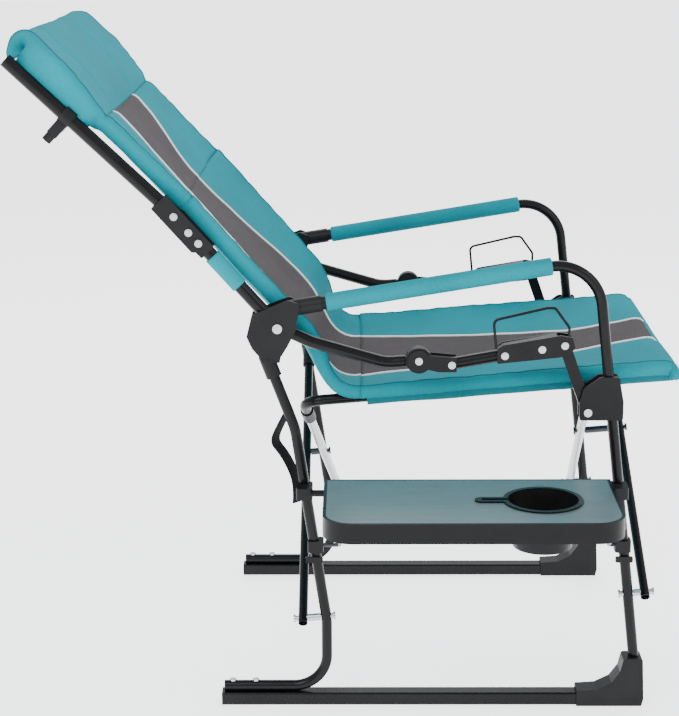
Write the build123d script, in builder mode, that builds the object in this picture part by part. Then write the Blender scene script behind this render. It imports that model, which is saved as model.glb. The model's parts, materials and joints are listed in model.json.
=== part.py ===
from build123d import *
import os
from math import atan2, cos, degrees, radians, sin

# Camp rocking chair with a folding side table. Millimetres, +X is the way the sitter faces,
# +Z is up. A side is -1 for the sitter's right (table side) and +1 for the left.
os.makedirs("parts", exist_ok=True)

# ---- driving dimensions ----
half_width = 277.5          # middle plane to the plane of each side frame
origin_x = -10.502          # middle of the whole object's box, in the chair's own frame
origin_y = -106.25
leg_r = 8.0
wall = 1.3
rail_r = 9.0
back_r = 10.0
pin_r = 4.0
running = 0.05              # radial clearance of a turning pin

skid_height = 20.0
skid_width = 25.0
skid_rear = -207.0
skid_front = 344.0

R = (-115.0, 592.0)         # back pivot in the rear bracket, (x, z)
M = (91.0, 542.0)           # knee of the seat rails
K = (303.0, 565.0)          # rail bracket to link
F = (339.0, 464.0)          # link to the bracket on the upright
hub_r = 20.0
knee_r = 19.0
lower_back_angle = 131.6    # from +X, seen from the table side
upper_back_angle = 136.4
back_hinge_at = 220.0       # from R along the lower back tube
upper_back_length = 322.0

arm_slope = 0.1606
upright_foot = (424.0, 45.0)
arm_corner = (349.0, 691.0)
arm_rear_x = -94.0
arm_bend = 67.0
grip_from, grip_to = -44.0, 283.0
grip_r = 13.0

tilt_deg = 4.6              # pitch of the seat tubes and of the scissor axes
axis_origin = (-82.0, 138.0)
seat_height = 327.7         # seat tube above the lower scissor axis, square to it
seat_half = 235.0
brace_r = 7.0
leg_bolt_x = {"rear": -46.8, "front": 408.3}    # middle of a leg at its scissor bolt
bolt_reach = 11.0           # from a leg's or foot's middle to the bolt's end
crossing_r = 3.5            # pin where two braces cross
bend_reach = 62.0           # from the rear bend of a seat tube to its joint with the brace

table_x = (-48.0, 372.0)
table_y = (-508.0, -308.0)
table_top_z = 368.0
table_thick = 29.0
table_axis = (-300.0, 344.0)    # (y, z)
rod_r = 5.0
cup_centre = (264.0, -408.0)
cup_r = 50.0
cup_depth = 66.0
strut_axis = (-277.5, 255.0)
strut_length = 170.0
strut_angle = 28.0
wire_r = 3.0
strut_arms = ((-26.0, 1), (377.0, -1))      # x of each arm, and the way its hook points
strut_leg_x = (-64.0, 400.0)
rod_x = (-79.0, 390.0)

sling_half = 256.0
pad_rear, pad_front = 12.5, 40.0
seat_from, seat_to = 84.0, 590.0
seat_pad_low, seat_pad_mid, seat_pad_high = -4.0, 11.5, 21.0

sides = {"right": -1, "left": 1}
tilt = radians(tilt_deg)


def tilted(along, y, up):
    """A point of the scissor frames: along the tilted axis, across, and square to it."""
    return (axis_origin[0] + along * cos(tilt) - up * sin(tilt), y,
            axis_origin[1] + along * sin(tilt) + up * cos(tilt))


def polar(centre, angle, distance, offset=0.0):
    """(x, z) at a distance along an angle, and offset to the front of that line."""
    a = radians(angle)
    return (centre[0] + distance * cos(a) + offset * sin(a),
            centre[1] + distance * sin(a) - offset * cos(a))


H = polar(R, lower_back_angle, back_hinge_at)


def at(point, y):
    return (point[0], y, point[1])


def arm_z(x):
    return arm_corner[1] + arm_slope * (x - arm_corner[0])


def save(builder, name):
    """Label a finished piece, set it on the object's origin and write it."""
    shape = Pos(-origin_x, -origin_y, 0) * builder.part
    shape.label = name
    export_step(shape, f"parts/{name}.step")


def rod(start, end, radius, mode=Mode.ADD):
    """Round bar between two points, in the current part."""
    axis = Vector(*end) - Vector(*start)
    with BuildSketch(Plane(origin=start, z_dir=axis)) as section:
        Circle(radius)
    extrude(section.sketch, amount=axis.length, dir=axis.normalized(), mode=mode)


def bent_bar(points, bends, radius, thickness=0.0, mode=Mode.ADD):
    """Round bar along straight runs joined by arcs, hollow if it has a wall thickness."""
    with BuildLine() as path:
        if bends:
            FilletPolyline(*points, radius=bends)
        else:
            Polyline(*points)
    with BuildSketch(Plane(origin=path.line @ 0, z_dir=path.line % 0)) as section:
        Circle(radius)
        if thickness:
            Circle(radius - thickness, mode=Mode.SUBTRACT)
    sweep(section.sketch, path=path.line, mode=mode)


def bent_tube(points, bends, radius):
    bent_bar(points, bends, radius, thickness=wall)


def plate(outline, y_from, y_to, corner=0.0, mode=Mode.ADD):
    """Flat piece in the side plane, from an (x, z) outline, between two lateral places."""
    low, high = min(y_from, y_to), max(y_from, y_to)
    with BuildSketch(Plane(origin=(0, high, 0), x_dir=(1, 0, 0), z_dir=(0, -1, 0))) as section:
        with BuildLine():
            Polyline(*outline, close=True)
        make_face()
        if corner:
            fillet(section.vertices(), corner)
    extrude(section.sketch, amount=high - low, dir=(0, -1, 0), mode=mode)


def disc(centre, radius, y_from, y_to, mode=Mode.ADD):
    rod(at(centre, y_from), at(centre, y_to), radius, mode)


def screw(centre, y_face, side):
    """Domed screw head standing on an outer face."""
    disc(centre, 5.5, y_face, y_face + side * 1.6)
    disc(centre, 4.2, y_face + side * 1.6, y_face + side * 2.6)


leg_path = [(-203.0, 28.0), (-46.0, 28.0), (-46.0, 135.0), (-91.0, 437.0), (-133.0, 549.0)]
leg_bends = [50.0, 120.0, 90.0]
upright_path = [upright_foot, arm_corner, (arm_rear_x, arm_z(arm_rear_x))]
rear_rail_path = [R, (-66.0, 569.0), (42.0, 537.5), (71.0, 539.6)]
front_rail_path = [(112.0, 538.6), (142.0, 536.0), (296.0, 563.7)]
rail_plane = (-back_r - 0.5, back_r + 0.5)
rail_shell = [(205, 538), (205, 560), (214, 566), (297, 580), (314, 577), (318, 562), (310, 550),
              (292, 547)]


def lateral(side, outward):
    return side * (half_width + outward)


# ---- scissor frames under the seat ----
seat_y = {"right": -seat_half, "left": seat_half}
foot_y = {"right": half_width, "left": -half_width}
scissor = {
    "right": {"rear": (28.4, 58.2), "front": (459.8, 467.5), "end": 578.3},
    "left": {"rear": (26.4, 0.0), "front": (535.0, 517.7), "end": 578.3},
}


def brace_ends(name, place):
    top_along, foot_along = scissor[name][place]
    return (Vector(*tilted(top_along, seat_y[name], seat_height)),
            Vector(*tilted(foot_along, foot_y[name], 0.0)))


def crossing_point(name, place):
    """Middle of a brace where it crosses the brace of the other frame."""
    here, there = brace_ends(name, place)
    return there + (here - there) * (half_width / (half_width + seat_half))


def pivot_bolt(name, place, side):
    """Both ends of the bolt that holds a scissor foot to its leg or upright."""
    foot = brace_ends(name, place)[1]
    low = min(foot.X, leg_bolt_x[place]) - bolt_reach
    high = max(foot.X, leg_bolt_x[place]) + bolt_reach
    return [(x, side * half_width, foot.Z + (x - foot.X) * sin(tilt) / cos(tilt)) for x in (low, high)]


def cover_corner(distance, offset):
    """Corner of the back's hinge cover, measured along the lower back tube."""
    return polar(R, lower_back_angle, distance, offset)


def clamp_corner(distance, offset):
    """Corner of the clamp on the upper back tube."""
    return polar(H, upper_back_angle, distance, offset)


def seat_corner(along, up):
    """(x, z) of a corner of the seat pad."""
    point = tilted(along, 0, seat_height + up)
    return (point[0], point[2])


frame_of_side = {"right": "left", "left": "right"}      # which scissor frame stands on a side
scissor_axis = Vector(cos(tilt), 0, sin(tilt))

for name, side in sides.items():
    with BuildPart() as skid:
        with BuildSketch(Plane(origin=(skid_rear, lateral(side, 0), skid_height / 2),
                               x_dir=(0, 1, 0), z_dir=(1, 0, 0))):
            RectangleRounded(skid_width, skid_height, 3)
            RectangleRounded(skid_width - 3, skid_height - 3, 1.6, mode=Mode.SUBTRACT)
        extrude(amount=skid_front - skid_rear)
    save(skid, f"skid_{name}")

    with BuildPart() as rear_leg:
        bent_tube([at(p, lateral(side, 0)) for p in leg_path], leg_bends, leg_r)
        bolt = pivot_bolt(frame_of_side[name], "rear", side)
        rod(*bolt, pin_r, mode=Mode.SUBTRACT)
    save(rear_leg, f"rear_leg_{name}")

    with BuildPart() as arm_tube:
        bent_tube([at(p, lateral(side, 0)) for p in upright_path], [arm_bend], leg_r)
        rod(*pivot_bolt(frame_of_side[name], "front", side), pin_r, mode=Mode.SUBTRACT)
    save(arm_tube, f"arm_tube_{name}")

    with BuildPart() as arm_grip:
        ends = [(x, lateral(side, 0), arm_z(x)) for x in (grip_from, grip_to)]
        rod(*ends, grip_r)
        fillet(arm_grip.edges(), 3)
        rod(*ends, leg_r, mode=Mode.SUBTRACT)
    save(arm_grip, f"arm_grip_{name}")

    with BuildPart() as rear_bracket:
        cheek = [(-160, 580), (-152, 612), (-124, 624), (-98, 634), (-82, 628), (-88, 590),
                 (-100, 566), (-113, 545), (-141, 549), (-152, 562)]
        for low, high in ((11.0, 15.5), (-15.5, -11.0)):
            plate(cheek, lateral(side, low), lateral(side, high), corner=5)
        leg_top = [(-143, 562), (-109, 562), (-112, 540), (-138, 540)]
        plate(leg_top, lateral(side, -11.0), lateral(side, 11.0))
        rod(at((-121.0, 516.9), lateral(side, 0)), at((-133.0, 549.0), lateral(side, 0)), 11.5)
        sleeve_from, sleeve_to = -94.0, -50.0
        rod(*[(x, lateral(side, 0), arm_z(x)) for x in (sleeve_from, sleeve_to)], 12.0)
        rod(*[(x, lateral(side, 0), arm_z(x)) for x in (sleeve_to, grip_from - 0.5)], 10.0)
        bent_bar([at(p, lateral(side, 0)) for p in leg_path], leg_bends, leg_r, mode=Mode.SUBTRACT)
        rod(*[(x, lateral(side, 0), arm_z(x)) for x in (arm_rear_x - 4, grip_from)], leg_r,
            mode=Mode.SUBTRACT)
        disc(R, hub_r + 1.5, lateral(side, -11.0), lateral(side, 11.0), mode=Mode.SUBTRACT)
        disc(R, pin_r, lateral(side, -20), lateral(side, 20), mode=Mode.SUBTRACT)
    save(rear_bracket, f"rear_bracket_{name}")

    with BuildPart() as front_foot:
        shoe = [(334, 0), (433, 0), (436, 12), (433, 77), (404, 77), (399, 56), (386, 38), (364, 27),
                (334, 25)]
        plate(shoe, lateral(side, -16), lateral(side, 16))
        fillet(front_foot.edges().filter_by(Axis.Y).sort_by(Axis.Z)[-2:], 4)
        socket_from = 330.0
        socket_plane = Plane(origin=(socket_from, lateral(side, 0), skid_height / 2),
                             x_dir=(0, 1, 0), z_dir=(1, 0, 0))
        with BuildSketch(socket_plane) as socket:
            RectangleRounded(skid_width, skid_height, 3)
        extrude(socket.sketch, amount=skid_front - socket_from, mode=Mode.SUBTRACT)
        bent_bar([at(p, lateral(side, 0)) for p in upright_path], [arm_bend], leg_r, mode=Mode.SUBTRACT)
    save(front_foot, f"front_foot_{name}")

    with BuildPart() as link_bracket:
        channel = [(327, 452), (391, 452), (391, 480), (384, 517), (356, 517), (332, 500), (326, 478)]
        for low, high in ((8.2, 12.5), (-12.5, -8.2)):
            plate(channel, lateral(side, low), lateral(side, high), corner=4)
        web = [(366, 454), (389, 454), (389, 480), (383, 515), (361, 515)]
        plate(web, lateral(side, -8.2), lateral(side, 8.2))
        plate([(366, 479), (388, 479), (388, 489), (366, 489)], lateral(side, -12.5), lateral(side, -54))
        bent_bar([at(p, lateral(side, 0)) for p in upright_path], [arm_bend], leg_r, mode=Mode.SUBTRACT)
        disc(F, pin_r, lateral(side, -20), lateral(side, 20), mode=Mode.SUBTRACT)
        disc(F, 11.5, lateral(side, -8.2), lateral(side, 8.2), mode=Mode.SUBTRACT)
    save(link_bracket, f"link_bracket_{name}")

    with BuildPart() as frame_bolts:
        disc(R, pin_r, lateral(side, -18.5), lateral(side, 16))
        disc(R, 7.0, lateral(side, 15.5), lateral(side, 18.0))
        disc(R, 6.5, lateral(side, -19.5), lateral(side, -15.5))
        disc(F, pin_r, lateral(side, -15.0), lateral(side, 13))
        disc(F, 6.0, lateral(side, 12.5), lateral(side, 15.0))
        disc(F, 6.0, lateral(side, -16.5), lateral(side, -12.5))
        for place, leg_x in leg_bolt_x.items():
            ends = pivot_bolt(frame_of_side[name], place, side)
            rod(*ends, pin_r)
            foot = brace_ends(frame_of_side[name], place)[1]
            rod(ends[0], Vector(*ends[0]) - scissor_axis * 3, 6.0)
            rod(ends[1], Vector(*ends[1]) + scissor_axis * 3, 6.0)
            toward = 1 if leg_x > foot.X else -1
            gap = abs(leg_x - foot.X) - leg_r - brace_r - 1.4
            start = foot + scissor_axis * toward * (brace_r + 0.4)
            rod(start, start + scissor_axis * toward * gap, 5.5)
        for x in (-190.0, -155.0):
            rod((x, lateral(side, 0), 28.0 + leg_r), (x, lateral(side, 0), 28.0 + leg_r + 2.5), 5.0)
    save(frame_bolts, f"frame_bolts_{name}")

    # back and rear rail, turning about R
    with BuildPart() as back_hub:
        disc(R, hub_r, lateral(side, rail_plane[0]), lateral(side, rail_plane[1]))
        disc(R, pin_r + running, lateral(side, -15), lateral(side, 15), mode=Mode.SUBTRACT)
    save(back_hub, f"back_hub_{name}")

    with BuildPart() as back_tube_lower:
        tube_end = polar(R, lower_back_angle, back_hinge_at - 22)
        bent_tube([at(R, lateral(side, 0)), at(tube_end, lateral(side, 0))], None, back_r)
        disc(R, hub_r, lateral(side, -15), lateral(side, 15), mode=Mode.SUBTRACT)
    save(back_tube_lower, f"back_tube_lower_{name}")

    with BuildPart() as rear_rail:
        bent_tube([at(p, lateral(side, 0)) for p in rear_rail_path], [60, 70], rail_r)
        disc(R, hub_r, lateral(side, -15), lateral(side, 15), mode=Mode.SUBTRACT)
        disc(M, knee_r + 1.5, lateral(side, -15), lateral(side, 15), mode=Mode.SUBTRACT)
    save(rear_rail, f"rear_rail_{name}")

    with BuildPart() as knee_disc:
        disc(M, knee_r, lateral(side, -4), lateral(side, 4))
        neck = [(60, 533.5), (91, 534), (91, 550), (60, 545)]
        plate(neck, lateral(side, -4), lateral(side, 4))
        disc(M, pin_r + running, lateral(side, -15), lateral(side, 15), mode=Mode.SUBTRACT)
    save(knee_disc, f"knee_disc_{name}")

    with BuildPart() as hinge_cover:
        cover_from, cover_to, cover_rear, cover_front = 149.0, 250.0, -16.5, 12.5
        wall_outline = [cover_corner(cover_from, -11.5), cover_corner(cover_from, cover_front),
                        cover_corner(cover_to, cover_front), cover_corner(cover_to, cover_rear),
                        cover_corner(cover_from + 16, cover_rear), cover_corner(cover_from + 12, -12.0)]
        for low, high in ((10.6, 14.5), (-14.5, -10.6)):
            plate(wall_outline, lateral(side, low), lateral(side, high), corner=1.5)
        web = [cover_corner(cover_from + 16, cover_rear), cover_corner(cover_to, cover_rear),
               cover_corner(cover_to, -13.4), cover_corner(cover_from + 16, -13.4)]
        plate(web, lateral(side, -10.6), lateral(side, 10.6))
        disc(H, pin_r, lateral(side, -20), lateral(side, 20), mode=Mode.SUBTRACT)
    save(hinge_cover, f"hinge_cover_{name}")

    with BuildPart() as back_screws:
        disc(H, pin_r, lateral(side, -14.5), lateral(side, 14.5))
        screw(H, lateral(side, 14.5), side)
        screw(H, lateral(side, -14.5), -side)
        for distance in (168.0, 189.0):
            screw(polar(R, lower_back_angle, distance), lateral(side, 14.5), side)
    save(back_screws, f"back_screws_{name}")

    # upper half of the back, folding about H
    with BuildPart() as back_tube_upper:
        top = polar(H, upper_back_angle, upper_back_length)
        bent_tube([at(polar(H, upper_back_angle, 4), lateral(side, 0)), at(top, lateral(side, 0))],
                  None, back_r)
        disc(H, 9.0, lateral(side, -10.4), lateral(side, 10.4))
        disc(H, pin_r + running, lateral(side, -15), lateral(side, 15), mode=Mode.SUBTRACT)
    save(back_tube_upper, f"back_tube_upper_{name}")

    with BuildPart() as head_clamp:
        rod(at(clamp_corner(196, 0), lateral(side, 0)), at(clamp_corner(214, 0), lateral(side, 0)), 13.0)
        lug = [clamp_corner(197, -8), clamp_corner(213, -8), clamp_corner(213, -34), clamp_corner(197, -34)]
        plate(lug, lateral(side, -7), lateral(side, 7))
        disc(clamp_corner(205, -26), 8.0, lateral(side, -46), lateral(side, -7))
        rod(at(clamp_corner(205, -34), lateral(side, 0)), at(clamp_corner(205, -46), lateral(side, 0)), 7.0)
        rod(at(clamp_corner(190, 0), lateral(side, 0)), at(clamp_corner(220, 0), lateral(side, 0)), back_r,
            mode=Mode.SUBTRACT)
    save(head_clamp, f"head_clamp_{name}")

    # front rail, turning at the knee
    with BuildPart() as front_rail:
        bent_tube([at(p, lateral(side, 0)) for p in front_rail_path], [80], rail_r)
        disc(M, knee_r + 1.5, lateral(side, -15), lateral(side, 15), mode=Mode.SUBTRACT)
        disc(K, 14.0, lateral(side, -15), lateral(side, 15), mode=Mode.SUBTRACT)
    save(front_rail, f"front_rail_{name}")

    with BuildPart() as knee_yoke:
        strap = [(91, 532), (91, 552), (146, 547), (146, 525.5), (120, 525.5)]
        for low, high in ((4.4, 9.0), (-9.0, -4.4)):
            disc(M, knee_r, lateral(side, low), lateral(side, high))
        for low, high in ((9.0, 11.5), (-11.5, -9.0)):
            disc(M, knee_r - 3, lateral(side, low), lateral(side, high))
            plate(strap, lateral(side, low), lateral(side, high))
        disc(M, pin_r, lateral(side, -11.5), lateral(side, 11.5))
    save(knee_yoke, f"knee_yoke_{name}")

    with BuildPart() as rail_bracket:
        for low, high in ((9.0, 12.5), (-12.5, -9.0)):
            plate(rail_shell, lateral(side, low), lateral(side, high), corner=2)
        cap = [(205, 559), (214, 565), (292, 579.2), (292, 575), (206, 558)]
        plate(cap, lateral(side, -9), lateral(side, 9))
        bent_bar([at(p, lateral(side, 0)) for p in front_rail_path], [80], rail_r, mode=Mode.SUBTRACT)
        disc(K, pin_r, lateral(side, -20), lateral(side, 20), mode=Mode.SUBTRACT)
    save(rail_bracket, f"rail_bracket_{name}")

    with BuildPart() as wire_handle:
        loop = [(203, 564), (199, 603), (276, 621), (288, 621), (309, 592), (309, 579)]
        bent_bar([at(p, lateral(side, 10.7)) for p in loop], [9, 7, 7, 7], 2.0)
        rod(at((203, 564), lateral(side, 10.7)), at((203, 560.2), lateral(side, 10.7)), 2.0)
        plate(rail_shell, lateral(side, 8.9), lateral(side, 12.6), mode=Mode.SUBTRACT)
    save(wire_handle, f"wire_handle_{name}")

    with BuildPart() as rail_screws:
        screw(M, lateral(side, 11.5), side)
        screw((139.0, 536.0), lateral(side, 11.5), side)
        for centre in ((216.0, 550.0), (270.0, 559.5), K):
            screw(centre, lateral(side, 12.5), side)
        disc(K, pin_r, lateral(side, -12.5), lateral(side, 12.5))
        screw(K, lateral(side, -12.5), -side)
    save(rail_screws, f"rail_screws_{name}")

    # link from the rail bracket to the upright; its upper eye is slotted round the rail's pin
    with BuildPart() as link:
        direction = degrees(atan2(K[1] - F[1], K[0] - F[0]))
        reach = ((K[0] - F[0]) ** 2 + (K[1] - F[1]) ** 2) ** 0.5
        edges = [polar(F, direction, 0, 8.5), polar(F, direction, reach - 16, 8.5),
                 polar(F, direction, reach - 16, -8.5), polar(F, direction, 0, -8.5)]
        plate(edges, lateral(side, -6), lateral(side, 6))
        disc(F, 8.5, lateral(side, -6), lateral(side, 6))
        disc(polar(F, direction, reach - 16), 8.5, lateral(side, -6), lateral(side, 6))
        disc(F, pin_r + running, lateral(side, -15), lateral(side, 15), mode=Mode.SUBTRACT)
    save(link, f"link_{name}")

    # the scissor frame whose seat tube is on this side
    top, foot = brace_ends(name, "rear")
    down = (foot - top).normalized()
    tube_front = tilted(scissor[name]["end"], seat_y[name], seat_height)
    junction = top + down * bend_reach
    with BuildPart() as seat_tube:
        bent_tube([tube_front, tuple(top), tuple(junction)], [26], leg_r)
    save(seat_tube, f"seat_tube_{name}")

    front_top, front_foot_point = brace_ends(name, "front")
    front_down = (front_foot_point - front_top).normalized()
    with BuildPart() as braces:
        bent_tube([tuple(junction + down * 0.5), tuple(foot + down * 10)], None, brace_r)
        bent_tube([tuple(front_top + front_down * 14), tuple(front_foot_point + front_down * 10)],
                  None, brace_r)
        for end in (foot, front_foot_point):
            rod(tuple(end - scissor_axis * 12), tuple(end + scissor_axis * 12), pin_r + running,
                mode=Mode.SUBTRACT)
        for place in ("rear", "front"):
            crossing = crossing_point(name, place)
            size = crossing_r + (running if name == "right" else 0)
            rod(tuple(crossing - scissor_axis * 12), tuple(crossing + scissor_axis * 12), size,
                mode=Mode.SUBTRACT)
    save(braces, f"braces_{name}")

    with BuildPart() as collars:
        rod(tuple(junction - down * 16), tuple(junction + down * 22), leg_r + 2)
        rod(tuple(front_top - scissor_axis * 12), tuple(front_top + scissor_axis * 12), leg_r + 3)
        rod(tuple(front_top), tuple(front_top + front_down * 30), brace_r + 2)
        rod(tuple(junction - down * 30), tuple(junction), leg_r, mode=Mode.SUBTRACT)
        rod(tuple(junction), tuple(junction + down * 30), brace_r, mode=Mode.SUBTRACT)
        rod(tuple(front_top - scissor_axis * 20), tuple(front_top + scissor_axis * 20), leg_r,
            mode=Mode.SUBTRACT)
        rod(tuple(front_top + front_down * 14), tuple(front_top + front_down * 40), brace_r,
            mode=Mode.SUBTRACT)
    save(collars, f"collars_{name}")

with BuildPart() as crossing_pins:
    for place in ("rear", "front"):
        low, high = sorted([crossing_point(name, place) for name in sides], key=lambda spot: spot.X)
        rod(tuple(low - scissor_axis * 9), tuple(high + scissor_axis * 9), crossing_r)
        rod(tuple(low - scissor_axis * 11.5), tuple(low - scissor_axis * 9), 6.0)
        rod(tuple(high + scissor_axis * 9), tuple(high + scissor_axis * 11.5), 6.0)
        rod(tuple(low + scissor_axis * 7.5), tuple(high - scissor_axis * 7.5), 5.5)
save(crossing_pins, "crossing_pins")

# ---- side table, right side ----
middle = (table_y[0] + table_y[1]) / 2
table_length = table_x[1] - table_x[0]
table_width = table_y[1] - table_y[0]
band = 5.0
board_plane = Plane(origin=((table_x[0] + table_x[1]) / 2, middle, table_top_z), z_dir=(0, 0, 1))
cup_local = (cup_centre[0] - (table_x[0] + table_x[1]) / 2, cup_centre[1] - middle)
slot_length = 46.0


def board_outline(inset):
    """Table outline, with large corners on the outer side and small ones by the hinge."""
    with BuildSketch(board_plane) as outline:
        Rectangle(table_length - 2 * inset, table_width - 2 * inset)
        outer = outline.vertices().group_by(Axis.Y)[0]
        inner = outline.vertices().group_by(Axis.Y)[-1]
        fillet(outer, 42 - inset)
        fillet(inner, 8 - inset)
    return outline.sketch


with BuildPart() as table_top:
    extrude(board_outline(band), amount=-table_thick + 1.5, dir=(0, 0, 1))
    with BuildSketch(board_plane.offset(5)) as cup_hole:
        with Locations(cup_local):
            Circle(cup_r + 2)
        with Locations((cup_local[0] - cup_r - slot_length / 2 + 6, cup_local[1])):
            SlotOverall(slot_length, 12)
    extrude(cup_hole.sketch, amount=table_thick + 20, dir=(0, 0, -1), mode=Mode.SUBTRACT)
save(table_top, "table_top")

with BuildPart() as table_edge:
    extrude(board_outline(0), amount=-table_thick, dir=(0, 0, 1))
    extrude(board_outline(band), amount=-table_thick, dir=(0, 0, 1), mode=Mode.SUBTRACT)
    for groove in range(4):
        depth = table_top_z - 4.5 - groove * 6.2
        ring = Plane(origin=(board_plane.origin.X, middle, depth), z_dir=(0, 0, 1))
        with BuildSketch(ring) as groove_ring:
            add(Pos(0, 0, depth - table_top_z) * board_outline(-1))
            add(Pos(0, 0, depth - table_top_z) * board_outline(1.2), mode=Mode.SUBTRACT)
        extrude(groove_ring.sketch, amount=-1.6, dir=(0, 0, 1), mode=Mode.SUBTRACT)
    for x in (0.0, 324.0):
        rod((x - 12, *table_axis), (x + 12, *table_axis), rod_r + 3)
        with BuildSketch(Plane(origin=(x, -304.5, table_axis[1]), z_dir=(1, 0, 0))) as lug:
            Rectangle(9, 8)
        extrude(lug.sketch, amount=12, both=True)
        rod((x - 13, *table_axis), (x + 13, *table_axis), rod_r + running, mode=Mode.SUBTRACT)
save(table_edge, "table_edge")

with BuildPart() as cup_holder:
    with BuildSketch(board_plane.offset(0.2)) as rim:
        with Locations(cup_local):
            Circle(cup_r + 7)
        with Locations((cup_local[0] - cup_r - slot_length / 2 + 4, cup_local[1])):
            SlotOverall(slot_length + 10, 20)
        with Locations(cup_local):
            Circle(cup_r, mode=Mode.SUBTRACT)
        with Locations((cup_local[0] - cup_r - slot_length / 2 + 6, cup_local[1])):
            SlotOverall(slot_length - 4, 8, mode=Mode.SUBTRACT)
    extrude(rim.sketch, amount=2.4, dir=(0, 0, 1))
    cup_at = (*cup_centre, table_top_z + 0.2)
    with BuildSketch(Plane(origin=cup_at, z_dir=(0, 0, 1))) as mouth:
        Circle(cup_r + 1.8)
    with BuildSketch(Plane(origin=(*cup_centre, table_top_z - cup_depth), z_dir=(0, 0, 1))) as base:
        Circle(cup_r - 8)
    loft([mouth.sketch, base.sketch])
    with BuildSketch(Plane(origin=(*cup_centre, table_top_z + 3), z_dir=(0, 0, 1))) as inner_mouth:
        Circle(cup_r - 0.2)
    floor_z = table_top_z - cup_depth + 2
    with BuildSketch(Plane(origin=(*cup_centre, floor_z), z_dir=(0, 0, 1))) as inner_base:
        Circle(cup_r - 10)
    loft([inner_mouth.sketch, inner_base.sketch], mode=Mode.SUBTRACT)
save(cup_holder, "cup_holder")

with BuildPart() as table_hinge_bar:
    rod((rod_x[0], *table_axis), (rod_x[1], *table_axis), rod_r)
save(table_hinge_bar, "table_hinge_bar")

with BuildPart() as table_struts:
    angle = radians(strut_angle)
    tip_y = strut_axis[0] - strut_length * cos(angle)
    tip_z = strut_axis[1] + strut_length * sin(angle)
    for (x, hook), leg_x in zip(strut_arms, strut_leg_x):
        start = (leg_x + hook * (leg_r + 1.5), *strut_axis)
        corners = [start, (x, *strut_axis), (x, tip_y, tip_z), (x + hook * 30, tip_y, tip_z)]
        bent_bar(corners, [6, 7], wire_r)
save(table_struts, "table_struts")

with BuildPart() as table_clamps:
    for leg_x in (-77.6, 389.0):
        with BuildSketch(Plane(origin=(0, 0, table_axis[1] - 9), z_dir=(0, 0, 1))) as block:
            with Locations((leg_x, -289)):
                RectangleRounded(24, 38, 5)
        extrude(block.sketch, amount=18)
    for leg_x, (x, hook) in zip(strut_leg_x, strut_arms):
        with BuildSketch(Plane(origin=(0, 0, strut_axis[1] - 9), z_dir=(0, 0, 1))) as block:
            with Locations((leg_x + hook * 2, strut_axis[0])):
                RectangleRounded(24, 24, 5)
        extrude(block.sketch, amount=18)
        rod((leg_x + hook * 2, *strut_axis), (x + hook * 40, *strut_axis), wire_r + running,
            mode=Mode.SUBTRACT)
        tab_plane = Plane(origin=(leg_x, strut_axis[0] - 12, strut_axis[1] - 20), z_dir=(0, 1, 0))
        with BuildSketch(tab_plane) as tab:
            RectangleRounded(9, 26, 2)
        extrude(tab.sketch, amount=4)
    rod((rod_x[0] - 1, *table_axis), (rod_x[1] + 1, *table_axis), rod_r, mode=Mode.SUBTRACT)
    bent_bar([at(p, -half_width) for p in leg_path], leg_bends, leg_r, mode=Mode.SUBTRACT)
    bent_bar([at(p, -half_width) for p in upright_path], [arm_bend], leg_r, mode=Mode.SUBTRACT)
save(table_clamps, "table_clamps")

# ---- soft parts ----
def back_panel(base, angle, start, end, front):
    """Padded panel of the back, in front of the back tubes."""
    outline = [polar(base, angle, start, pad_rear), polar(base, angle, end, pad_rear),
               polar(base, angle, end, front), polar(base, angle, start, front)]
    plate(outline, -sling_half, sling_half)


with BuildPart() as back_sling_lower:
    back_panel(R, lower_back_angle, -86, back_hinge_at - 9, pad_front)
    fillet(back_sling_lower.edges().filter_by(Axis.Y), 6)
save(back_sling_lower, "back_sling_lower")

with BuildPart() as back_sling_upper:
    back_panel(H, upper_back_angle, 6, upper_back_length + 8, pad_front + 6)
    fillet(back_sling_upper.edges().filter_by(Axis.Y), 6)
save(back_sling_upper, "back_sling_upper")

with BuildPart() as seat_sling:
    over = [seat_corner(seat_from, seat_pad_mid), seat_corner(seat_to, seat_pad_mid),
            seat_corner(seat_to, seat_pad_high), seat_corner(seat_from, seat_pad_high)]
    plate(over, -seat_half - 12, seat_half + 12)
    under = [seat_corner(seat_from, seat_pad_low), seat_corner(seat_to, seat_pad_low),
             seat_corner(seat_to, seat_pad_mid), seat_corner(seat_from, seat_pad_mid)]
    plate(under, -seat_half + 37, seat_half - 37)
save(seat_sling, "seat_sling")
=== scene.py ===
import json
from math import cos, exp, pi, radians, sin, sqrt

import bpy
from mathutils import Matrix, Vector, noise


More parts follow.
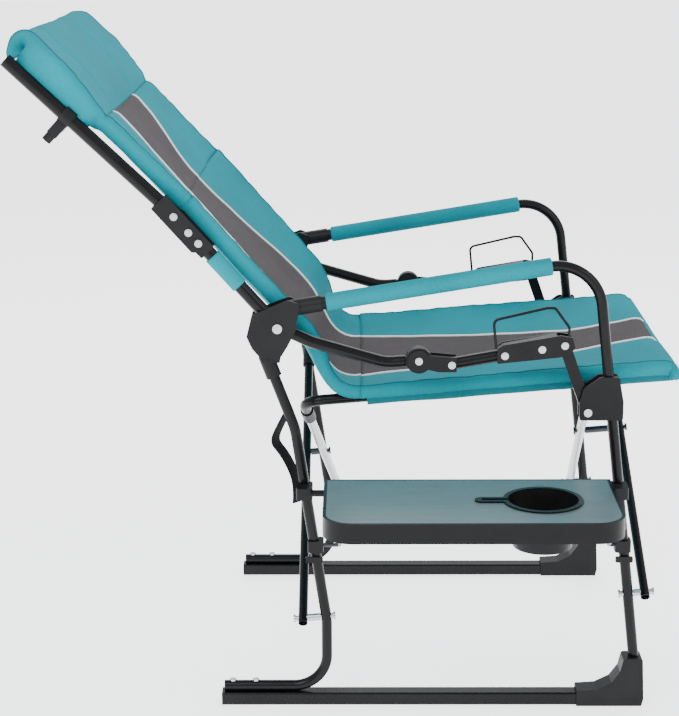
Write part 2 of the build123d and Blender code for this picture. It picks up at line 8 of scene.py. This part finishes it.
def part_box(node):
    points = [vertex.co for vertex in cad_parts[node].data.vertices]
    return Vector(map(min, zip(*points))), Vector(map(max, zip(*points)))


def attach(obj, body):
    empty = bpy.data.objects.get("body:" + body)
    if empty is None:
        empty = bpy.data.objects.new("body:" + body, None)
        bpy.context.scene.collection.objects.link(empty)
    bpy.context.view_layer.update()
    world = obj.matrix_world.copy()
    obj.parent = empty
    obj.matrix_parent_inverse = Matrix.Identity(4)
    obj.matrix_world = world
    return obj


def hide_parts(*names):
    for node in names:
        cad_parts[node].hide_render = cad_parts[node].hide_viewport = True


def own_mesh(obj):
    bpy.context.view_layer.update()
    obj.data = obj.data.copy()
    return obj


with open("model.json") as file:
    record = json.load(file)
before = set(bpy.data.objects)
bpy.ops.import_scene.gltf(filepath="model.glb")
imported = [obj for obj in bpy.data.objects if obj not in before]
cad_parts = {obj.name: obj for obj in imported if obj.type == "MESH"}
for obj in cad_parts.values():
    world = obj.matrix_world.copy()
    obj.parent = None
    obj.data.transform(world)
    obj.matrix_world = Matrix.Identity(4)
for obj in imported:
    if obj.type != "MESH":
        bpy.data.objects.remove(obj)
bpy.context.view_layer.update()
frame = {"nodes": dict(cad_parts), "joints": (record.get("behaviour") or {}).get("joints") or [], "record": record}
nodes = frame["nodes"]
joint = {j["name"]: j for j in frame["joints"]}
sides = {"right": -1, "left": 1}

# ---- places taken from the frame, in metres ----
back_pivot = Vector(joint["back_rock_right"]["pos_m"])
back_hinge = Vector(joint["back_fold_right"]["pos_m"])
seat_line = Vector(joint["seat_level"]["pos_m"])
seat_along = Vector(joint["seat_level"]["axis"]).normalized()
seat_up = Vector((-seat_along.z, 0, seat_along.x))
mid_y = (back_pivot.y + joint["back_rock_left"]["pos_m"][1]) / 2
half_width = mid_y - back_pivot.y
seat_half = mid_y - seat_line.y
lower_along = (back_hinge - back_pivot).normalized()
lower_front = Vector((lower_along.z, 0, -lower_along.x))
lower_length = (back_hinge - back_pivot).length

# ---- two values of the CAD's upper back tubes, which no joint gives ----
upper_angle = radians(136.4)
upper_tube_end = 0.322
upper_along = Vector((cos(upper_angle), 0, sin(upper_angle)))
upper_front = Vector((upper_along.z, 0, -upper_along.x))


# ---- materials ----
def new_material(name):
    material = bpy.data.materials.new(name)
    material.use_nodes = True
    tree = material.node_tree
    shader = tree.nodes["Principled BSDF"]
    coords = tree.nodes.new("ShaderNodeTexCoord")
    return material, tree, shader, coords.outputs["Object"]


def noise_value(tree, coords, scale, detail=4.0, roughness=0.5, stretch=None):
    if stretch:
        mapping = tree.nodes.new("ShaderNodeMapping")
        mapping.inputs["Scale"].default_value = stretch
        tree.links.new(coords, mapping.inputs["Vector"])
        coords = mapping.outputs["Vector"]
    node = tree.nodes.new("ShaderNodeTexNoise")
    node.inputs["Scale"].default_value = scale
    node.inputs["Detail"].default_value = detail
    node.inputs["Roughness"].default_value = roughness
    tree.links.new(coords, node.inputs["Vector"])
    return node.outputs["Fac"]


def drive(tree, value, socket, stops):
    """Lead a shader's socket by a value, through a ramp of colours or of plain levels."""
    colours = [(place, (level,) * 3 if isinstance(level, float) else level) for place, level in stops]
    node = tree.nodes.new("ShaderNodeValToRGB")
    node.color_ramp.elements[0].position = colours[0][0]
    node.color_ramp.elements[0].color = (*colours[0][1], 1)
    node.color_ramp.elements[1].position = colours[-1][0]
    node.color_ramp.elements[1].color = (*colours[-1][1], 1)
    for place, colour in colours[1:-1]:
        node.color_ramp.elements.new(place).color = (*colour, 1)
    tree.links.new(value, node.inputs["Fac"])
    tree.links.new(node.outputs["Color"], socket)


def maths(tree, operation, a, b):
    node = tree.nodes.new("ShaderNodeMath")
    node.operation = operation
    for socket, value in zip(node.inputs, (a, b)):
        if isinstance(value, float):
            socket.default_value = value
        else:
            tree.links.new(value, socket)
    return node.outputs["Value"]


def bump(tree, shader, height, strength, distance):
    node = tree.nodes.new("ShaderNodeBump")
    node.inputs["Strength"].default_value = strength
    node.inputs["Distance"].default_value = distance
    tree.links.new(height, node.inputs["Height"])
    tree.links.new(node.outputs["Normal"], shader.inputs["Normal"])


def scaled(colour, amount):
    return tuple(min(c * amount, 1) for c in colour)


def weave(tree, coords, scale):
    """Height of a weave: fine waves along all three axes, added up, so that it needs no UVs."""
    heights = []
    for direction in ("X", "Y", "Z"):
        wave = tree.nodes.new("ShaderNodeTexWave")
        wave.bands_direction = direction
        wave.inputs["Scale"].default_value = scale
        wave.inputs["Distortion"].default_value = 0.6
        wave.inputs["Detail"].default_value = 1.0
        tree.links.new(coords, wave.inputs["Vector"])
        heights.append(wave.outputs["Fac"])
    return maths(tree, "ADD", maths(tree, "ADD", heights[0], heights[1]), heights[2])


def cloth(name, colour, weave_scale=190.0, variation=0.16, strength=0.35):
    """Woven cloth: uneven dye and wear, with a weave and small crumples on the surface."""
    material, tree, shader, coords = new_material(name)
    soft = noise_value(tree, coords, scale=9.0, detail=5.0)
    fine = noise_value(tree, coords, scale=420.0, detail=2.0)
    mixed = maths(tree, "ADD", maths(tree, "MULTIPLY", soft, 0.65), maths(tree, "MULTIPLY", fine, 0.35))
    drive(tree, mixed, shader.inputs["Base Color"],
          [(0.3, scaled(colour, 1 - variation)), (0.5, colour), (0.7, scaled(colour, 1 + variation))])
    drive(tree, soft, shader.inputs["Roughness"], [(0.3, 0.74), (0.7, 0.88)])
    shader.inputs["Specular IOR Level"].default_value = 0.12
    crumple = maths(tree, "MULTIPLY", noise_value(tree, coords, scale=60.0, detail=3.0), 2.0)
    bump(tree, shader, maths(tree, "ADD", weave(tree, coords, weave_scale), crumple), strength, 0.0005)
    return material


def coated(name, colour, roughness):
    """Powder coat: a dark even colour, an orange-peel surface and light scuffing."""
    material, tree, shader, coords = new_material(name)
    dust = noise_value(tree, coords, scale=14.0, detail=6.0, roughness=0.65)
    scuff = noise_value(tree, coords, scale=35.0, detail=6.0, roughness=0.7)
    peel = noise_value(tree, coords, scale=700.0, detail=2.0)
    drive(tree, dust, shader.inputs["Base Color"], [(0.35, colour), (0.75, scaled(colour, 1.7))])
    drive(tree, scuff, shader.inputs["Roughness"], [(0.35, roughness - 0.05), (0.75, roughness + 0.14)])
    shader.inputs["Specular IOR Level"].default_value = 0.16
    bump(tree, shader, peel, strength=0.08, distance=0.0004)
    return material


def moulded(name, colour, roughness, strength=0.22):
    """Moulded plastic with a fine spark-eroded grain."""
    material, tree, shader, coords = new_material(name)
    tint = noise_value(tree, coords, scale=24.0)
    drive(tree, tint, shader.inputs["Base Color"], [(0.3, scaled(colour, 0.85)), (0.7, scaled(colour, 1.3))])
    drive(tree, tint, shader.inputs["Roughness"], [(0.3, roughness - 0.07), (0.7, roughness + 0.07)])
    shader.inputs["Specular IOR Level"].default_value = 0.12
    bump(tree, shader, noise_value(tree, coords, scale=1600.0, detail=2.0), strength, distance=0.0003)
    return material


def metal(name, colour, roughness, stretch):
    """Drawn metal: fine streaks along one way."""
    material, tree, shader, coords = new_material(name)
    streaks = noise_value(tree, coords, scale=260.0, roughness=0.6, stretch=stretch)
    drive(tree, streaks, shader.inputs["Base Color"], [(0.3, scaled(colour, 0.8)), (0.7, colour)])
    drive(tree, streaks, shader.inputs["Roughness"], [(0.3, roughness - 0.06), (0.7, roughness + 0.1)])
    shader.inputs["Metallic"].default_value = 1.0
    bump(tree, shader, streaks, strength=0.1, distance=0.0002)
    return material


def board(name, colour):
    """Coated table board: satin, with a faint brushed grain along its length."""
    material, tree, shader, coords = new_material(name)
    grain = noise_value(tree, coords, scale=90.0, detail=5.0, roughness=0.6, stretch=(0.12, 1.0, 1.0))
    satin = noise_value(tree, coords, scale=20.0, detail=5.0)
    drive(tree, grain, shader.inputs["Base Color"],
          [(0.3, scaled(colour, 0.92)), (0.7, scaled(colour, 1.08))])
    drive(tree, satin, shader.inputs["Roughness"], [(0.3, 0.3), (0.7, 0.42)])
    bump(tree, shader, grain, strength=0.06, distance=0.0003)
    return material


teal = cloth("teal_cloth", (0.0006, 0.215, 0.262))
# the sleeve's cloth is the seat's teal made darker: painted shade on the cloth that turns down round the tube
shaded_teal = cloth("teal_sleeve_painted_shade", (0.0005, 0.125, 0.155), variation=0.2)
teal_grip = cloth("teal_grip_cloth", (0.0006, 0.205, 0.25), weave_scale=210.0, strength=0.3)
grey = cloth("grey_cloth", (0.064, 0.058, 0.062), variation=0.25)
piping_white = cloth("white_piping", (0.82, 0.84, 0.84), weave_scale=330.0, variation=0.05)
webbing = cloth("black_webbing", (0.01, 0.01, 0.011), weave_scale=240.0, variation=0.3)
thread = cloth("teal_thread", (0.0006, 0.15, 0.185), weave_scale=600.0)
black_tube = coated("black_powder_coat", (0.0035, 0.0035, 0.004), roughness=0.24)
black_plastic = moulded("black_plastic", (0.010, 0.010, 0.011), roughness=0.42)
band_plastic = moulded("table_band_plastic", (0.006, 0.006, 0.0065), roughness=0.34)
cup_plastic = moulded("cup_plastic", (0.007, 0.007, 0.0075), roughness=0.32, strength=0.12)
steel = metal("bright_steel", (0.50, 0.51, 0.53), roughness=0.24, stretch=(1.0, 1.0, 0.2))
dark_steel = metal("dark_pin_steel", (0.06, 0.06, 0.065), roughness=0.3, stretch=(0.2, 1.0, 1.0))
silver = metal("silver_tube", (0.52, 0.54, 0.57), roughness=0.3, stretch=(0.15, 1.0, 1.0))
table_board = board("table_board", (0.082, 0.128, 0.138))

slot_material = {
    "black_tube": black_tube, "black_plastic": black_plastic, "bright_steel": steel, "silver_tube": silver,
    "teal_fabric": teal, "grip_fabric": teal_grip, "table_board": table_board, "table_band": band_plastic,
}
for entry in frame["record"]["subparts"]:
    cad_node = nodes[entry["node"]]
    cad_node.data.materials.clear()
    cad_node.data.materials.append(slot_material[entry["material_slot"]])
# three nodes are drawn differently from the rest of their slot
nodes["cup_holder"].data.materials[0] = cup_plastic
nodes["crossing_pins"].data.materials[0] = dark_steel
nodes["table_struts"].data.materials[0] = dark_steel


# ---- mesh helpers ----
def make_mesh(name, points, faces, materials, indices=None):
    mesh = bpy.data.meshes.new(name)
    mesh.from_pydata([tuple(p) for p in points], [], faces)
    for material in materials:
        mesh.materials.append(material)
    if indices:
        mesh.polygons.foreach_set("material_index", indices)
    mesh.polygons.foreach_set("use_smooth", [True] * len(mesh.polygons))
    mesh.update()
    piece = bpy.data.objects.new(name, mesh)
    bpy.context.scene.collection.objects.link(piece)
    return piece


def tube_piece(name, line, radius, material, segments, flat=1.0, up=Vector((0, 1, 0))):
    """Closed tube or strap along a line of points; flat squeezes it across up."""
    points, faces = [], []
    for i, place in enumerate(line):
        ahead = line[min(i + 1, len(line) - 1)] - line[max(i - 1, 0)]
        side_way = ahead.cross(up).normalized()
        up_way = side_way.cross(ahead).normalized()
        for k in range(segments):
            turn = 2 * pi * k / segments
            points.append(place + up_way * (radius * cos(turn)) + side_way * (radius * flat * sin(turn)))
    for i in range(len(line) - 1):
        for k in range(segments):
            corner = i * segments + k
            beside = i * segments + (k + 1) % segments
            faces.append((corner, beside, beside + segments, corner + segments))
    faces.append(tuple(range(segments))[::-1])
    faces.append(tuple(range((len(line) - 1) * segments, len(line) * segments)))
    return make_mesh(name, points, faces, [material])


def wrinkle(place, size, scale, seed):
    return size * noise.noise(place * scale + Vector((seed, seed * 1.7, -seed)))


def smooth(t):
    """From 0 to 1 with a soft start and end."""
    t = min(1.0, max(0.0, t))
    return t * t * (3 - 2 * t)


# ---- the sling's panels ----
edge_columns, stripe_columns = 20, 24
columns = 2 * edge_columns + stripe_columns + 1
edge_round = 0.012
seam_depth, seam_reach = 0.0018, 0.010
gather_height, gather_waves, gather_inset, gather_reach = 0.0006, 70, 0.018, 0.022
edge_gap = 0.0105
piping_radius, stitch_radius, cross_seam_radius = 0.0019, 0.0009, 0.0012
stitch_column = 5


def across(half, stripe):
    """Lateral places of a panel's columns, with one on each edge of the middle stripe."""
    outer = [-half + (half - stripe) * (1 - cos(pi / 2 * k / edge_columns)) for k in range(edge_columns)]
    inner = [-stripe + 2 * stripe * k / stripe_columns for k in range(stripe_columns + 1)]
    return outer + inner + [-y for y in reversed(outer)]


class Station:
    """One row of a panel: middle point, outward normal, thickness, sag, half width, stripe half width."""

    def __init__(self, place, normal, thickness, sag, half, stripe):
        self.place, self.normal, self.thickness = place, normal, thickness
        self.sag, self.half, self.stripe = sag, half, stripe

    def hollow(self, y):
        return self.sag * (1 - (y / self.half) ** 2)

    def point(self, y, depth):
        """A point of the row, at a lateral place and a depth below the row's middle point."""
        return Vector((self.place.x, mid_y + y, self.place.z)) - self.normal * depth


def front_point(station, y, share, seed):
    """A point of the panel's front: round edges, the sag, the stripe's seams, gathers and wrinkles."""
    edge = max(0.0, (abs(y) - (station.half - edge_round)) / edge_round)
    drop = edge_round * (1 - sqrt(max(0.0, 1 - min(edge, 1.0) ** 2)))
    seam = seam_depth * max(0.0, 1 - abs(abs(y) - station.stripe) / seam_reach) ** 2
    unevenness = 5 * noise.noise(Vector((share * 9, y * 20, seed)))
    gather = gather_height * sin(gather_waves * share + unevenness)
    gather *= exp(-((abs(y) - station.half + gather_inset) / gather_reach) ** 2)
    top = station.point(y, drop + station.hollow(y) + seam)
    broad = wrinkle(top, size=0.0026, scale=7.0, seed=seed)
    small = wrinkle(top, size=0.0009, scale=26.0, seed=seed)
    return top + station.normal * (gather + broad + small)


def back_point(station, y, seed):
    base = station.point(y, station.thickness + station.hollow(y))
    return base + station.normal * wrinkle(base, size=0.0015, scale=20.0, seed=seed + 5)


def panel_faces(length, stripe_from):
    """Faces of a closed panel, with the front's points before the back's, and a material index for each."""
    faces, indices = [], []
    under = columns * length
    for row in range(length - 1):
        for column in range(columns - 1):
            front = row * columns + column
            back = under + front
            faces.append((front, front + 1, front + 1 + columns, front + columns))
            faces.append((back, back + columns, back + 1 + columns, back + 1))
            in_stripe = edge_columns <= column < edge_columns + stripe_columns and row >= stripe_from
            indices += [1 if in_stripe else 0, 0]
        for column, order in ((0, 1), (columns - 1, -1)):
            front = row * columns + column
            faces.append((front, front + columns, under + front + columns, under + front)[::order])
            indices.append(0)
    for column in range(columns - 1):
        for row, order in ((0, -1), (length - 1, 1)):
            front = row * columns + column
            faces.append((front, front + 1, under + front + 1, under + front)[::order])
            indices.append(0)
    return faces, indices


def panel(name, stations, body, cad_node, seed, stripe_from=0):
    """Closed padded panel of the sling; the middle stripe is grey from one row on. Gives its front rows."""
    length = len(stations)
    rows = [[front_point(station, y, s / length, seed) for y in across(station.half, station.stripe)]
            for s, station in enumerate(stations)]
    back_rows = [[back_point(station, y, seed) for y in across(station.half, station.stripe)]
                 for station in stations]
    points = [point for row in rows + back_rows for point in row]
    faces, indices = panel_faces(length, stripe_from)
    piece = make_mesh(name, points, faces, [teal, grey], indices)
    dress(piece, body)
    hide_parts(cad_node)
    return rows


def dress(piece, body):
    """A piece of the sling: it rides on a body, with a mesh of its own."""
    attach(piece, body)
    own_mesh(piece)


def raised(rows, stations, column, start, lift):
    """A line along one column of a panel, lifted off the cloth."""
    return [rows[s][column] + stations[s].normal * lift for s in range(start, len(rows))]


def piping(name, rows, stations, body, start=0):
    """White piping on both edges of the stripe, and a stitched line near both outer edges."""
    for label, stripe_column, edge_column in (("right", edge_columns, stitch_column),
                                              ("left", edge_columns + stripe_columns, -1 - stitch_column)):
        line = raised(rows, stations, stripe_column, start, lift=0.0010)
        dress(tube_piece(f"{name}_piping_{label}", line, piping_radius, piping_white, 8), body)
        line = raised(rows, stations, edge_column, 0, lift=0.0003)
        dress(tube_piece(f"{name}_stitch_{label}", line, stitch_radius, thread, 8), body)


def cross_seam(name, row, normal, body):
    line = [point + normal * 0.0002 for point in row[4:-4]]
    dress(tube_piece(name, line, cross_seam_radius, thread, 8, up=normal), body)


# ---- back, upper half, with the head pillow over the tube ends ----
# s is the distance up the tube's line from the hinge of the fold
panel_half = half_width - edge_gap
cloth_depth, pillow_extra_depth = 0.026, 0.020
pillow_from = 0.168
pillow_top = upper_tube_end + 0.016
pillow_round = 0.027
pillow_end = pillow_top - pillow_round
pillow_overhang = 0.012
corner_length, corner_draw = 0.050, 0.034
fold_rise, seam_rise, pillow_swell, swell_length = 0.037, 0.041, 0.012, 0.09
dent_depth, dent_reach = 0.0042, 0.006
seam_length, sag_length = 0.02, 0.03
head_sag, seam_sag, waist_sag, seat_sag = 0.010, 0.017, 0.034, 0.019
waist_stripe, pillow_stripe = 0.078, 0.123
hinge_overlap = 0.0015
arc_steps, arc_turn = 12, pi * 0.93
head_steps = 52


def head_rise(s):
    """Front of the padding before the tube axis."""
    above_seam = smooth((s - pillow_from) / swell_length)
    return fold_rise + (seam_rise - fold_rise) * smooth(s / pillow_from) + pillow_swell * above_seam


def head_half(s):
    """Half width, drawn in round at the top corners of the pillow."""
    over = max(0.0, s - (pillow_top - corner_length)) / corner_length
    return panel_half + pillow_overhang * smooth((s - pillow_from) / seam_length) - corner_draw * over ** 2


def upper_sag(s):
    """Depth of the hollow between the two back tubes, shallow in the pillow and deep at the waist."""
    if s > pillow_from:
        return seam_sag + (head_sag - seam_sag) * smooth((s - pillow_from) / sag_length)
    return waist_sag + (seam_sag - waist_sag) * smooth(s / pillow_from)


def upper_stripe(s):
    return waist_stripe + (pillow_stripe - waist_stripe) * smooth(s / pillow_from)


def pillow_top_station(turn):
    """A row on the pillow's round top, at an angle from the pillow's front."""
    core = back_hinge + upper_along * pillow_end + upper_front * (head_rise(pillow_end) - pillow_round)
    normal = upper_front * cos(turn) + upper_along * sin(turn)
    s = pillow_end + pillow_round * sin(turn)
    return Station(core + normal * pillow_round, normal, pillow_round * 0.985,
                   head_sag * max(0.0, cos(turn)), head_half(s), upper_stripe(s))


def upper_station(s):
    """A row of the pillow's front or of the back below it, with a dent along the seam between them."""
    dent = dent_depth * exp(-((s - pillow_from) / dent_reach) ** 2)
    place = back_hinge + upper_along * s + upper_front * (head_rise(s) - dent)
    depth = cloth_depth + pillow_extra_depth * smooth((s - pillow_from) / seam_length)
    return Station(place, upper_front, depth, upper_sag(s), head_half(s), upper_stripe(s))


turns = [arc_turn * (1 - i / arc_steps) for i in range(arc_steps)]
distances = [pillow_end - (pillow_end + hinge_overlap) * i / head_steps for i in range(head_steps + 1)]
upper_stations = [pillow_top_station(turn) for turn in turns] + [upper_station(s) for s in distances]
seam_row = arc_steps + next(i for i, s in enumerate(distances) if s <= pillow_from)
upper_rows = panel("back_cover_upper", upper_stations, "back_upper_right", "back_sling_upper", 1.0,
                   stripe_from=seam_row)
piping("back_upper", upper_rows, upper_stations, "back_upper_right", seam_row)
cross_seam("pillow_seam", upper_rows[seam_row], upper_front, "back_upper_right")

# ---- back, lower half, curving into the seat ----
# s is the distance up the tube's line from the back's pivot
lower_rise, seat_rise = 0.0375, 0.0205
lower_end, seat_start = -0.030, 0.116
lower_half = half_width - 0.0165
seat_panel_half = seat_half + 0.013
seat_depth = 0.020
hip_stripe, seat_stripe, front_stripe = 0.140, 0.130, 0.064
straight_steps, bend_steps = 30, 22
bend_from = back_pivot + lower_along * lower_end + lower_front * lower_rise
bend_to = seat_line + seat_along * seat_start + seat_up * seat_rise
pull = (bend_to - bend_from).length * 0.40
bend_out = bend_from - lower_along * pull
bend_in = bend_to - seat_along * pull


def bend_point(t):
    """A point of the Bezier curve that carries the lower back into the seat."""
    return (bend_from * (1 - t) ** 3 + bend_out * (3 * t * (1 - t) ** 2)
            + bend_in * (3 * t * t * (1 - t)) + bend_to * t ** 3)


def bend_normal(t):
    ahead = (bend_point(min(1, t + 0.01)) - bend_point(max(0, t - 0.01))).normalized()
    return Vector((-ahead.z, 0, ahead.x))


def lower_station(share):
    """A row of the lower back, from the fold down to the start of the bend."""
    s = lower_length + hinge_overlap - (lower_length + hinge_overlap - lower_end) * share
    place = back_pivot + lower_along * s + lower_front * lower_rise
    half = panel_half + (lower_half - panel_half) * share
    stripe = waist_stripe + (hip_stripe - waist_stripe) * smooth(share)
    return Station(place, lower_front, cloth_depth, waist_sag, half, stripe)


def bend_station(t):
    """A row of the bend, which narrows, thins and flattens towards the seat."""
    return Station(bend_point(t), bend_normal(t), cloth_depth + (seat_depth - cloth_depth) * t,
                   waist_sag + (seat_sag - waist_sag) * t,
                   lower_half + (seat_panel_half - lower_half) * smooth(t),
                   hip_stripe + (seat_stripe - hip_stripe) * t)


lower_stations = [lower_station(i / straight_steps) for i in range(straight_steps)]
lower_stations += [bend_station(i / bend_steps) for i in range(bend_steps + 1)]
lower_rows = panel("back_cover_lower", lower_stations, "back_lower_right", "back_sling_lower", 4.0)
piping("back_lower", lower_rows, lower_stations, "back_lower_right")

# ---- seat ----
seat_end = (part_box("seat_sling")[1].x - seat_line.x) / seat_along.x - 0.006
seat_steps = 66
front_round = 0.024
front_sag_share, front_sag_length = 0.2, 0.16


def seat_station(share):
    """A row of the seat: the stripe narrows and the cloth flattens towards the round front edge."""
    along = seat_start + (seat_end - seat_start) * share
    from_front = seat_end - along
    over = max(0.0, 1 - from_front / front_round)
    fall = front_round * 0.5 * (1 - sqrt(max(0.0, 1 - over ** 2)))
    sag = seat_sag * min(1.0, front_sag_share + from_front / front_sag_length)
    stripe = seat_stripe + (front_stripe - seat_stripe) * min(1.0, share * 1.25) ** 0.8
    place = seat_line + seat_along * along + seat_up * (seat_rise - fall)
    return Station(place, seat_up, seat_depth, sag, seat_panel_half, stripe)


seat_stations = [seat_station(i / seat_steps) for i in range(seat_steps + 1)]
seat_rows = panel("seat_cover", seat_stations, "seat", "seat_sling", 8.0)
piping("seat", seat_rows, seat_stations, "seat")


def seat_sleeve(label, sign):
    """Cloth sleeve round one seat tube, in the seat's teal made darker: painted shade where the cloth turns down
    round the tube.
    """
    start, end, steps, radius = 0.124, seat_end - 0.004, 90, 0.0126
    line = []
    for i in range(steps + 1):
        place = seat_line + seat_along * (start + (end - start) * i / steps)
        height = place.z + wrinkle(place, size=0.0009, scale=22.0, seed=sign)
        line.append(Vector((place.x, mid_y + sign * seat_half, height)))
    dress(tube_piece(f"seat_sleeve_{label}", line, radius, shaded_teal, 24), "seat")


def seat_front_hem():
    """Rolled edge across the front of the seat."""
    down, inward, radius = 0.0045, 0.003, 0.0085
    line = [point - seat_up * down - seat_along * inward for point in seat_rows[-1]]
    dress(tube_piece("seat_front_hem", line, radius, teal, 14, up=seat_up), "seat")


# ---- storage strap and tabs ----
def smooth_line(points):
    """Points of a smooth curve that starts at the first point, ends at the last and is drawn to the rest."""
    curve = bpy.data.curves.new("strap_path", "CURVE")
    curve.dimensions = "3D"
    spline = curve.splines.new("NURBS")
    spline.points.add(len(points) - 1)
    for control, place in zip(spline.points, points):
        control.co = (*place, 1)
    spline.order_u = 4
    spline.use_endpoint_u = True
    path_piece = bpy.data.objects.new("strap_path", curve)
    line = [vertex.co.copy() for vertex in bpy.data.meshes.new_from_object(path_piece).vertices]
    bpy.data.objects.remove(path_piece)
    return line


def storage_strap():
    """Flat webbing hanging behind the rear leg on the table side; its route is listed point by point."""
    route_mm = [(11, 456), (1, 437), (-8, 419), (-4, 408), (5, 398),
                (17, 376), (25, 354), (26, 336), (25, 318)]
    inset, half_strap, thinness = 0.014, 0.0100, 0.10
    facing = Vector((0.62, 0.78, 0))
    y = mid_y - half_width + inset
    points = [Vector((back_pivot.x + x / 1000, y, z / 1000)) for x, z in route_mm]
    line = smooth_line(points)
    strap = tube_piece("storage_strap", line, half_strap, webbing, 12, flat=thinness, up=facing)
    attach(strap, "base_right")


def back_tab(label, sign):
    """Tab of cloth round one lower back tube."""
    start, length, steps, radius = 0.082, 0.058, 16, 0.0122
    line = []
    for i in range(steps + 1):
        place = back_pivot + lower_along * (start + length * i / steps)
        line.append(Vector((place.x, mid_y + sign * half_width, place.z)))
    tab = tube_piece(f"back_tab_{label}", line, radius, teal, 20)
    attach(tab, f"back_lower_{label}")


for label, sign in sides.items():
    seat_sleeve(label, sign)
seat_front_hem()
storage_strap()
for label, sign in sides.items():
    back_tab(label, sign)


# ---- floor, light and camera ----
def add_floor(glow):
    """White floor that gives off light of its own, which washes out its shadows."""
    bpy.ops.mesh.primitive_plane_add(size=40, location=(0, 0, 0))
    floor = bpy.context.object
    floor.name = "floor"
    floor_material, _, shader, _ = new_material("floor_white")
    shader.inputs["Base Color"].default_value = (0.97, 0.97, 0.97, 1)
    shader.inputs["Emission Color"].default_value = (1.0, 1.0, 1.0, 1)
    shader.inputs["Emission Strength"].default_value = glow
    shader.inputs["Roughness"].default_value = 0.55
    floor.data.materials.append(floor_material)


def add_world(light_strength, backdrop_strength):
    """Studio light from all round, with a brighter white where the camera looks straight at it."""
    world = bpy.data.worlds.new("studio")
    world.use_nodes = True
    sky = world.node_tree
    light = sky.nodes["Background"]
    light.inputs["Color"].default_value = (0.95, 0.97, 1.0, 1)
    light.inputs["Strength"].default_value = light_strength
    backdrop = sky.nodes.new("ShaderNodeBackground")
    backdrop.inputs["Color"].default_value = (1.0, 1.0, 1.0, 1)
    backdrop.inputs["Strength"].default_value = backdrop_strength
    path_info = sky.nodes.new("ShaderNodeLightPath")
    choice = sky.nodes.new("ShaderNodeMixShader")
    sky.links.new(path_info.outputs["Is Camera Ray"], choice.inputs[0])
    sky.links.new(light.outputs[0], choice.inputs[1])
    sky.links.new(backdrop.outputs[0], choice.inputs[2])
    sky.links.new(choice.outputs[0], sky.nodes["World Output"].inputs["Surface"])
    bpy.context.scene.world = world


def area_light(name, place, target, size, power):
    light = bpy.data.lights.new(name, "AREA")
    light.size = size
    light.energy = power
    lamp = bpy.data.objects.new(name, light)
    lamp.location = place
    lamp.rotation_euler = (Vector(target) - Vector(place)).to_track_quat("-Z", "Y").to_euler()
    bpy.context.scene.collection.objects.link(lamp)


def add_camera(place, pitch, yaw, roll, focal_length, picture_width):
    """Camera looking along +Y; angles in degrees, focal length and picture width in the same unit."""
    camera_data = bpy.data.cameras.new("camera")
    camera = bpy.data.objects.new("camera", camera_data)
    bpy.context.scene.collection.objects.link(camera)
    camera_data.sensor_width = 36
    camera_data.lens = focal_length / picture_width * camera_data.sensor_width
    turned = Matrix.Rotation(radians(-yaw), 3, "Z") @ Matrix.Rotation(pi / 2 - radians(pitch), 3, "X")
    camera.rotation_euler = (turned @ Matrix.Rotation(radians(roll), 3, "Z")).to_euler()
    camera.location = place
    bpy.context.scene.camera = camera


add_floor(glow=1.9)
add_world(light_strength=1.15, backdrop_strength=3.4)
area_light("key", place=(-1.2, -2.2, 2.8), target=(0, 0, 0.5), size=1.6, power=62)
area_light("fill", place=(2.4, -1.6, 1.8), target=(0, 0, 0.5), size=1.8, power=26)
area_light("back", place=(0.2, 2.4, 2.6), target=(0, 0, 0.4), size=2.0, power=40)
add_camera(place=(back_pivot.x + 0.115, mid_y - 2.877, 1.197), pitch=14.09, yaw=-0.55, roll=-0.26,
           focal_length=1831, picture_width=716)

bpy.context.view_layer.update()
